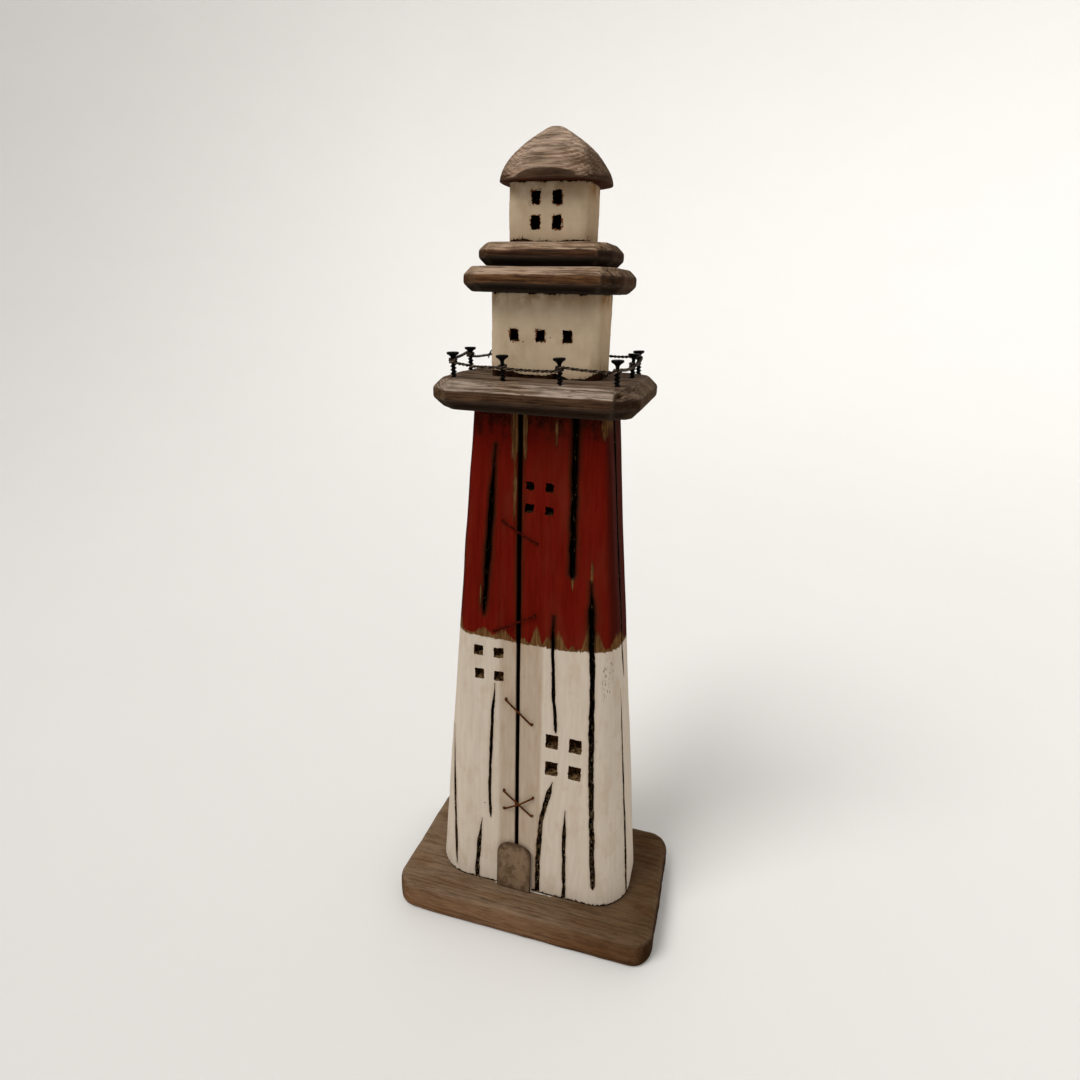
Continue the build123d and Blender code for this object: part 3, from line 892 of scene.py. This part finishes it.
def tower_outline(z):
    """Half length, half depth, corner radius and middle x of the tower at height z."""
    t = tower_share(z)
    return [foot + (head - foot) * t for foot, head in zip(TOWER_FOOT, TOWER_HEAD)]


def joint_x(z):
    return JOINT_FOOT_X + (JOINT_HEAD_X - JOINT_FOOT_X) * tower_share(z)


def front_y(z):
    return TOWER_Y - tower_outline(z)[1]


def corner_turn(place, flat, radius):
    """Sine and cosine of the turn of a rounded corner that begins flat from a face's middle."""
    past = np.clip(np.abs(place) - flat, 0, 0.98 * radius)
    sine = np.sign(place) * past / radius
    return sine, np.sqrt(1 - sine**2)


def on_front(x, z):
    """Points and outward normals on the tower's front, its rounded corners included."""
    half_x, half_y, radius, middle = tower_outline(z)
    sine, cosine = corner_turn(x - middle, half_x - radius, radius)
    y = TOWER_Y - (half_y - radius) - radius * cosine
    return np.stack([x, y, z], 1), np.stack([sine, -cosine, 0 * z], 1)


def on_right(y, z):
    """The same on the tower's right-hand side."""
    half_x, half_y, radius, middle = tower_outline(z)
    sine, cosine = corner_turn(y - TOWER_Y, half_y - radius, radius)
    x = middle + half_x - radius + radius * cosine
    return np.stack([x, y, z], 1), np.stack([cosine, sine, 0 * z], 1)


def crack_line(crack, seed):
    """A crack's wavering centre line: places, heights and half widths along it."""
    line, width, _, top_taper, bottom_taper = crack
    place, height = np.array(line, float).T
    z = np.linspace(height[0], height[-1], int((height[0] - height[-1]) / 1.4))
    across = np.interp(z, height[::-1], place[::-1])
    across += 0.35 * waver(z, 9, seed) + 0.15 * waver(z, 3, seed + 1)
    full = np.ones_like(z)
    if top_taper:
        full *= np.clip((height[0] - z) / top_taper, 0.03, 1) ** 1.15
    if bottom_taper:
        full *= np.clip((z - height[-1]) / bottom_taper, 0.03, 1) ** 0.6
    half = width / 2 * full * (1 + 0.2 * waver(z, 11, seed + 2) + 0.12 * waver(z, 2.4, seed + 3))
    return across, z, np.maximum(half, 0.1)


def crack_cutter(crack, surface, seed):
    """A closed wedge along the crack, wider outside the wood than at its bottom."""
    across, z, half = crack_line(crack, seed)
    base, normal = surface(across, z)
    side = np.stack([-normal[:, 1], normal[:, 0], normal[:, 2]], 1)
    depth = crack[2] * np.clip(half / (crack[1] / 2), 0.25, 1) * (1 + 0.2 * waver(z, 7, seed + 4))
    corners = [
        base + side * (place * half)[:, None] + normal * np.reshape(lift, (-1, 1))
        for place, lift in ((-1.2, 1.3), (1.2, 1.3), (0.5, -depth), (-0.5, -depth))
    ]
    return skin(np.stack(corners, 1), flip=True)


def crack_gap(place, z, cracks):
    """Distance to the edge of the nearest crack, along the face."""
    nearest = np.full(len(z), float(FAR))
    for crack, seed in cracks:
        across, height, half = crack_line(crack, seed)
        centre = np.interp(z, height[::-1], across[::-1])
        width = np.interp(z, height[::-1], half[::-1])
        past_ends = np.maximum(np.maximum(z - height[0], height[-1] - z), 0)
        nearest = np.minimum(nearest, np.hypot(np.abs(place - centre), past_ends) - width)
    return nearest


def pane_gap(x, z, groups):
    """Distance to the nearest of these windows, along the face."""
    gaps = [
        round_rect(x - centre_x, z - centre_z, width / 2, height / 2, 0.2)
        for centres, (width, height, _) in groups
        for centre_x, centre_z in centres
    ]
    return np.min(gaps, axis=0)


# ------------ tower boards

ROWS = 400
NEAR_JOINT = [0, 0.35, 0.75, 1.2, 1.8]


def board_rings(side):
    """Outline of one board row by row; side is -1 for the left-hand board, 1 for the right.

    Returns its points and their outward directions."""
    z = np.linspace(FOOT_Z, HEAD_Z, ROWS)[:, None]
    half_x, half_y, radius, middle = tower_outline(z)
    joint = side * (joint_x(z) - middle)
    start, end = joint + NEAR_JOINT[-1], half_x - radius
    columns = []

    def column(x, y, out_x, out_y):
        shape = np.broadcast(z, x, y).shape
        spread = [np.broadcast_to(v, shape) for v in (x, y, z, out_x, out_y)]
        columns.append(np.stack(spread, -1))

    def corner(front_or_back, steps):
        turn = np.pi / 2 * (np.linspace(0, 1, steps, endpoint=False) + min(front_or_back, 0))
        sine, cosine = np.sin(turn), np.cos(turn)
        y = front_or_back * (half_y - radius) + radius * sine
        column(end + radius * cosine, y, cosine, sine)

    # from the joint's front edge round to its back edge, then along the joint
    for gap in NEAR_JOINT:
        column(joint + gap, -half_y, 0, -1)
    share = np.linspace(0, 1, 78 if side > 0 else 58, endpoint=False)[1:]
    column(start + (end - start) * share, -half_y, 0, -1)
    corner(-1, 42)
    share = np.linspace(0, 1, 26, endpoint=False)
    column(half_x, (half_y - radius) * (2 * share - 1), 1, 0)
    corner(1, 26)
    share = np.linspace(0, 1, 30, endpoint=False)
    column(end + (start - end) * share, half_y, 0, 1)
    for gap in NEAR_JOINT[::-1]:
        column(joint + gap, half_y, 0, 1)
    column(joint, half_y * (1 - 2 * np.linspace(0, 1, 8)[1:-1]), -1, 0)
    x, y, z, out_x, out_y = np.moveaxis(np.concatenate(columns, 1), -1, 0)
    points = np.stack([middle + side * x, TOWER_Y + y, z], -1)
    return points, np.stack([side * out_x, out_y, 0 * z], -1)


def valley_share(x, z):
    """The shallow trough planed along the front of the joint."""
    left, right = joint_x(z) - 13.5, joint_x(z) + 18.5
    return smooth(left - 3, left + 1.5, x) * smooth(right + 2.5, right - 1, x)


def shape_board(points, outward):
    """Vee of the joint, trough, rubbed ends and hand-made unevenness of a board's outline."""
    flat, out = points.reshape(-1, 3), outward.reshape(-1, 3)
    x, _, z = flat.T
    facing = np.abs(out[:, 1])
    gap = np.abs(x - joint_x(z))
    vee = 4.0 * (1 - smooth(0, 1.6, gap)) * smooth(0.5, 1, facing)
    trough = 0.9 * valley_share(x, z) * smooth(0.9, 1, -out[:, 1])
    ends = 0.9 * smooth(FOOT_Z + 3.5, FOOT_Z, z) ** 2 + 0.5 * smooth(HEAD_Z - 2, HEAD_Z, z)
    uneven = 0.55 * noise(flat, (24, 24, 70), 61) + 0.20 * noise(flat, (7, 7, 26), 62)
    uneven += 0.07 * noise(flat, (1.8, 1.8, 16), 63)
    joint_face = (out[:, 0] * np.sign(x - joint_x(z)) < -0.5) | ((gap < 0.05) & (facing < 0.5))
    lift = np.where(joint_face, 0, uneven - vee - trough - ends)
    return (flat + out * lift[:, None]).reshape(points.shape)


def line_height(x, y):
    """Height of the line between cream and red, which drops towards the back right corner."""
    drop = 7 * smooth(-40, 62, x) * smooth(-22, 24, y)
    ends = smooth(20, 52, x) + smooth(-25, -48, x)
    return LINE_Z + 2.2 * ends + 0.8 * plan_noise(x, y, 20, 71) - drop


def brown_top(x, y):
    """How far the bare brown band reaches up from the line into the red."""
    reach = 1.6 + 1.2 * plan_noise(x, y, 7, 72)
    front = smooth(TOWER_Y + 5, TOWER_Y - 5, y)
    for middle, half, height in TEETH:
        tooth = height * np.clip(1.2 * (1 - np.abs(x - middle) / half), 0, 1)
        reach = np.maximum(reach, tooth * front)
    back = 9 * np.clip(plan_noise(x, y, 8, 73), 0, 1)
    return np.maximum(reach, back * (1 - front))


def patches(x, z, places):
    """Soft oval patches, 1 at the middle and 0 outside."""
    share = np.zeros(len(x))
    for middle_x, middle_z, half_x, half_z in places:
        gap = np.hypot((x - middle_x) / half_x, (z - middle_z) / half_z)
        share = np.maximum(share, 1 - smooth(0.3, 1.05, gap))
    return share


def seeded(cracks, first):
    return [(crack, first + 7 * i) for i, crack in enumerate(cracks)]


def tower_board(name, side, panes):
    """One board with the cracks on its side of the joint, its windows and its coats' edges."""
    points, outward = board_rings(side)
    piece = new_object(name, *skin(shape_board(points, outward), side < 0), TOWER_PAINT)
    front = [
        (crack, seed)
        for crack, seed in seeded(FRONT_CRACKS, 100)
        if (crack[0][0][0] > JOINT_HEAD_X) == (side > 0)
    ]
    right = seeded(RIGHT_CRACKS, 200) if side > 0 else []
    cutters = [crack_cutter(crack, on_front, seed) for crack, seed in front]
    cutters += [crack_cutter(crack, on_right, seed) for crack, seed in right]
    cut(piece, cutters, CUT)
    for number, group in enumerate(panes):
        finish = DARK_WINDOW if group is SMALL_PANES else TOWER_WINDOW
        cut(piece, pane_cutters(group, front_y, 300 + 20 * number), finish)

    x, y, z = points_of(piece).T
    is_front = y < TOWER_Y - 5
    half_x, _, _, middle = tower_outline(z)
    is_right = x > middle + half_x - 9
    set_values(
        piece,
        crack_gap=np.minimum(
            np.where(is_front, crack_gap(x, z, front), FAR),
            np.where(is_right, crack_gap(y, z, right), FAR),
        ),
        pane_gap=np.where(is_front, pane_gap(x, z, panes), FAR),
        joint_gap=np.abs(x - joint_x(z)),
        over_line=z - line_height(x, y),
        brown_top=brown_top(x, y),
        valley=np.where(is_front, valley_share(x, z), 0),
        worn=np.where(is_front, patches(x, z, WORN_FRONT), 0),
        scuff=np.where(is_front, patches(x, z, SCUFFED_FRONT), 0),
    )
    stand_for(piece, name)


tower_board("tower_left_board", -1, [LEFT_PANES])
tower_board("tower_right_board", 1, [SMALL_PANES, RIGHT_PANES])

# ------------ rooms


def lower_strip(x, y):
    """Height of the bare strip under the lower room's cream coat."""
    front = np.interp(x, list(BARE_STRIP), list(BARE_STRIP.values()))
    back = 2.5 + 1.8 * plan_noise(x, y, 14, 83)
    return front + (back - front) * smooth(-8, 8, y)


def upper_strip(x, y):
    """The same for the upper room."""
    return 0.7 + 1.3 * plan_noise(x, y, 7, 84)


def room(name, paint, corner_radius, panes, cell, seed, strip):
    """A slightly uneven block whose coat stands proud of the bare strip at its foot."""
    low, high = box_mm(name)
    points, quads = box_grid(low, high, cell)
    points, normals, _ = settle(points, rounded_block(low, high, corner_radius), 0.35)
    x, y, z = points.T
    lift = 0.45 * noise(points, (22, 22, 22), seed) + 0.12 * noise(points, (5, 5, 8), seed + 1)
    lift += 0.10 * noise(points, (1.7, 1.7, 2.2), seed + 2)
    lift += 0.4 * smooth(-0.6, 0.5, z - low[2] - strip(x, y)) - 0.5
    upright = 1 - np.abs(normals[:, 2])
    points = points + normals * (upright * lift)[:, None]
    piece = new_object(name, points, quads, paint)
    cut(piece, pane_cutters(panes, lambda z: low[1], seed + 5), DARK_WINDOW)
    x, y, z = points_of(piece).T
    set_values(
        piece,
        over_foot=z - low[2] - strip(x, y),
        under_head=high[2] - z,
        # painted shade that grows towards the right on the front, widening the tan band at the
        # top
        soiled=0.3 * smooth(2, high[0], x) * (y < TOWER_Y),
        pane_gap=np.where(y < TOWER_Y, pane_gap(x, z, [panes]), FAR),
    )
    stand_for(piece, name)


room("lower_room", LOWER_PAINT, 8, LOWER_ROOM_PANES, 0.8, 81, lower_strip)
room("upper_room", UPPER_PAINT, 6.5, UPPER_ROOM_PANES, 0.7, 91, upper_strip)

# ------------ door and glue


def door():
    """A thin round-topped veneer plate, rubbed along its edges and slightly warped."""
    width, height, thickness, corner = 29, 45.5, 2.2, 11
    middle_x, bottom, lift = -10, FOOT_Z + 0.2, 0.5

    def parts(p):
        x, out, z = p.T
        corner_x = np.maximum(np.abs(x) - (width / 2 - corner), 0)
        corner_z = np.maximum(z - (height - corner), 0)
        curve = np.hypot(corner_x, corner_z) - corner
        curve = np.where((corner_x > 0) & (corner_z > 0), curve, -corner)
        sides = np.maximum(np.abs(x) - width / 2, np.maximum(z - height, -z))
        return np.stack([np.maximum(sides, curve), np.abs(out - thickness / 2) - thickness / 2])

    points, quads = box_grid((-width / 2, 0, 0), (width / 2, thickness, height), 0.55)
    points, normals, arris = settle(points, parts, 0.16)
    points += normals * (0.10 * noise(points, (6, 6, 9), 95))[:, None]
    x, out, z = points.T
    out = out + 0.25 * noise(np.stack([x, 0 * x, z], 1), (16, 1, 22), 96) + lift
    world_z = bottom + z
    points = np.stack([middle_x + x, front_y(world_z) - out, world_z], 1)
    faces = [quad[::-1] for quad in quads]
    piece = new_object("door_plaque", points, faces, door_wood())
    set_values(piece, arris=arris)
    stand_for(piece, "door_plaque")


def glue_beads():
    """Squeezed-out glue at both lower corners of the door and along the tower's foot."""
    parts = []
    for number, (x, up, *size) in enumerate(GLUE_BEADS):
        points, quads = box_grid((-1, -1, -1), (1, 1, 1), 0.22)
        points = unit(points)
        points *= (1 + 0.22 * noise(points + number, (0.8, 0.8, 0.8), 97))[:, None]
        z = FOOT_Z + up
        middle = (x, front_y(z) - 0.1, z)
        parts.append((points * size + middle, quads))
    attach(new_object("glue_beads", *joined(parts), glue()), "root")


door()
glue_beads()

# ------------ stitches


def staple(name, number, first, second, rise):
    """A wire staple: legs in the wood, eased bends and a slightly bowed crown."""
    radius, leg, bend = 0.74, 5.5, 1.1
    ends = [on_front(np.array([x]), np.array([z]))[0][0] for x, z in (first, second)]
    along = unit(ends[1] - ends[0])
    out = np.array([0, -1, 0.04])

    def eased(end, inward, angle):
        return end + inward * bend * (1 - np.cos(angle)) + out * bend * np.sin(angle)

    path = [ends[0] - out * (leg - d) for d in np.linspace(0, leg - 0.3, 8)]
    path += [eased(ends[0], along, angle) for angle in np.linspace(0, np.pi / 2, 7)[1:]]
    start, finish = path[-1], ends[1] - along * bend + out * bend
    for share in np.linspace(0, 1, 26)[1:-1]:
        bow = (rise + 0.12) * np.sin(np.pi * share)
        dent = 0.16 * math.sin(9 * share + number) * math.sin(np.pi * share)
        path.append(start + (finish - start) * share + out * bow + np.array([0, 0, dent]))
    path += [eased(ends[1], -along, angle) for angle in np.linspace(np.pi / 2, 0, 7)[:-1]]
    path += [ends[1] - out * d for d in np.linspace(0.3, leg, 8)]
    reach = np.min([np.linalg.norm(np.array(path) - end, axis=1) for end in ends], axis=0)
    swelling = 0.4 * np.exp(-((reach / 1.6) ** 2)) + 0.06 * waver(reach * 2 + number, 1.5, number)
    piece = new_object(name, *tube(path, radius * (1 + swelling), 10), STITCH_WIRE)
    stand_for(piece, name)


for number, stitch in enumerate(STITCHES, 1):
    staple(f"stitch_{number}", number, *stitch)

# ------------ rail

SCREW_TIP, SCREW_HEAD = -13.2, 16


def screw_radius(z, turn):
    """Radius of a bugle-head screw at height z over the deck, its thread wound by turn."""
    shank, pitch = 1.2, 2.3
    cone = shank * np.clip((z - SCREW_TIP) / 3.6, 0.08, 1)
    flare = 2.8 * np.clip((z - 11.4) / 3.2, 0, 1) ** 2.3
    rim = 0.45 * smooth(SCREW_HEAD - 0.35, SCREW_HEAD, z) ** 2
    phase = np.abs(np.mod(z / pitch - turn / (2 * np.pi), 1) - 0.5)
    ridge = np.clip(1 - phase / 0.33, 0, 1) ** 0.7
    ridge *= 0.95 * smooth(9.4, 7.6, z) * smooth(-13.0, -10.5, z)
    return cone + flare - rim + ridge


def recess_cutter(turned):
    """One tapered web of the cross recess, sunk from the head's top."""
    levels = []
    for z, arm, web in ((13.2, 0.9, 0.35), (15.2, 2.0, 0.5), (17, 2.5, 0.62)):
        corners = [(-arm, -web), (arm, -web), (arm, web), (-arm, web)]
        levels.append([(-y, x, z) if turned else (x, y, z) for x, y in corners])
    return skin(np.array(levels, float))


def screw_mesh():
    """A whole screw on the Z axis, with its drive recess cut."""
    neck = 12
    heights = np.concatenate([np.arange(SCREW_TIP, neck, 0.2), np.linspace(neck, SCREW_HEAD, 22)])
    z, angle = np.meshgrid(heights, full_turn(30), indexing="ij")
    blank = new_object("screw_blank", *skin(polar(screw_radius(z, angle), angle, z)), SCREW_STEEL)
    for turned in (False, True):
        cut(blank, [recess_cutter(turned)], SCREW_STEEL)
    mesh = blank.data
    bpy.data.objects.remove(blank)
    return mesh


def post_axis(node):
    """Where a rail screw's axis meets the deck, and its direction, from the CAD node."""
    low, high = box_mm(node)
    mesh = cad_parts[node].data
    tip = np.array(min((v.co for v in mesh.vertices), key=lambda co: co.z)) / MM
    axis = unit(np.array([*(low + high)[:2] / 2, high[2]]) - tip)
    return tip + axis * (DECK_Z - tip[2]) / axis[2], axis


def rail_screw(name, number, screw, foot, axis):
    """A copy of the screw, leaning like its CAD node and driven in to its own angle."""
    mesh = screw.copy()
    mesh.name = name
    lean = Vector(axis).to_track_quat("Z", "Y").to_matrix().to_4x4()
    spin = Matrix.Rotation(1.9 * number, 4, "Z")
    mesh.transform(Matrix.Translation(Vector(foot * MM)) @ lean @ spin)
    stand_for(in_scene(name, mesh), name)


def rail_path(posts):
    """The rail wire's centre line: two turns round each screw and a sagging run between."""
    coil_radius, turns, sag = 2.05, 2, 0.9
    order = [(8 + i) % 10 for i in range(11)]
    centres = [posts[i][0] + posts[i][1] * WIRE_HEIGHTS[i] for i in order]
    aheads = [unit((there - here)[:2]) for here, there in zip(centres, centres[1:])]
    sides = [math.atan2(-ahead[0], ahead[1]) for ahead in aheads]
    sides = [sides[0], *sides, sides[-1]]
    path = []
    for number, centre in enumerate(centres):
        # anticlockwise from the side the wire comes in on to the one it leaves on
        start, end = sides[number], sides[number + 1]
        end += 2 * np.pi * turns + (2 * np.pi if end < start - 0.01 else 0)
        climb = WIRE_CLIMBS[order[number]]
        angles = np.arange(start, end, math.radians(9))
        share = (angles - start) / (end - start)
        up = 1.3 * climb * (2 * share - 1) + (1 - 0.6 * abs(climb)) * np.sin(2 * np.pi * share)
        loop = centre + polar(coil_radius, angles, up)
        if path:
            before = path[-1]
            gap = np.linalg.norm(loop[0] - before)
            steps = np.linspace(0, 1, int(gap / 0.36))[1:-1]
            run = before + (loop[0] - before) * steps[:, None]
            run[:, 2] -= sag * (1 + 0.3 * math.sin(2.3 * number)) * 4 * steps * (1 - steps)
            run[:, 2] += 0.25 * waver(steps * gap, 9, 120 + number) * np.sin(np.pi * steps)
            path += list(run)
        path += list(loop)
    path = np.array(path)
    path[1:-1] = (path[:-2] + 2 * path[1:-1] + path[2:]) / 4
    return path, centres[0]


def rail_wire(posts):
    """Two thin wires twisted together along the rail, and the tail left over at its start."""
    strand, twist = 0.52, 5.6
    path, first = rail_path(posts)
    ahead = unit(np.gradient(path, axis=0))
    side = unit(np.cross(ahead, (0, 0, 1)))
    above = np.cross(side, ahead)
    run = np.concatenate([[0], np.cumsum(np.linalg.norm(np.diff(path, axis=0), axis=1))])
    parts = []
    for phase in (0, np.pi):
        angle = (2 * np.pi * run / twist + phase)[:, None]
        offset = strand * (side * np.cos(angle) + above * np.sin(angle))
        parts.append(tube(path + offset, strand, 8))
    back = unit(posts[9][0] - posts[8][0])
    share = np.linspace(0, 1, 16)
    tail = first + [-2.4, 0, 0.6] + back * 9 * share[:, None]
    tail[:, 2] += 1.2 * np.sin(3 * share) - 4.5 * share**4
    parts.append(tube(tail, 0.5, 8))
    piece = new_object("rail_wire", *joined(parts), rail_steel())
    set_values(piece, strand=np.repeat([0.0, 1.0, 0.2], [len(points) for points, _ in parts]))
    stand_for(piece, "rail_wire")


screw = screw_mesh()
posts = [post_axis(f"rail_screw_{number}") for number in range(1, 11)]
for number, post in enumerate(posts, 1):
    rail_screw(f"rail_screw_{number}", number, screw, *post)
bpy.data.meshes.remove(screw)
rail_wire(posts)

# ------------ carried-over CAD nodes

for name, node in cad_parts.items():
    if name.startswith(("base_screw", "deck_screw")):
        finish = PLATED_STEEL
    elif name.endswith("_dowel"):
        finish = DOWEL_WOOD
    else:
        continue
    node.data.materials.clear()
    node.data.materials.append(finish)

# ------------ floor, light and camera


def floor():
    """A wide pale floor that curves up into a wall all round."""
    bend, flat, wall = 2600, 1300, 700
    s = Shader("floor", 0.9, 0)
    tone = s.mix(s.noise((0.004, 0.004, 0.004)), (240, 239, 237), (243, 242, 240))
    profile = [(flat * share, 0) for share in (0.001, 0.02, 0.1, 0.3, 0.6, 1)]
    for angle in np.linspace(0, np.pi / 2, 12)[1:]:
        profile.append((flat + bend * math.sin(angle), bend * (1 - math.cos(angle))))
    profile.append((flat + bend, bend + wall))
    radius, height = np.array(profile).T[..., None]
    # the last face would be a lid
    points, faces = skin(polar(radius, full_turn(96), height), flip=True)
    new_object("floor", points, faces[:-1], s.finish(tone))


def light():
    """A large soft sun from above, in front and to the left, and a pale sky all round."""
    data = bpy.data.lights.new("key", "SUN")
    data.angle = math.radians(30)
    data.energy = 1.85
    data.color = (1, 0.98, 0.955)
    lamp = in_scene("key", data)
    lamp.rotation_mode = "QUATERNION"
    lamp.rotation_quaternion = Vector((0.5, 0.68, -1.0)).to_track_quat("-Z", "Y")
    world = bpy.data.worlds.new("studio")
    world.use_nodes = True
    sky = world.node_tree.nodes["Background"].inputs
    sky["Color"].default_value = (1, 0.985, 0.965, 1)
    sky["Strength"].default_value = 0.455
    bpy.context.scene.world = world
    bpy.context.scene.view_settings.view_transform = "Standard"


def camera():
    """A wide lens close in front, a little to the right, looking down and left."""
    look_down, look_left, roll = 19.94, 16.08, 1.29
    turned = Matrix.Translation(Vector((126.8, -456.8, 496.3)) * MM)
    for angle, axis in ((look_left, "Z"), (90 - look_down, "X"), (roll, "Z")):
        turned @= Matrix.Rotation(math.radians(angle), 4, axis)
    data = bpy.data.cameras.new("camera")
    data.lens = 22.72
    data.sensor_width = 36
    data.clip_start, data.clip_end = 0.01, 50
    view = in_scene("camera", data)
    view.matrix_world = turned
    bpy.context.scene.camera = view


floor()
light()
camera()
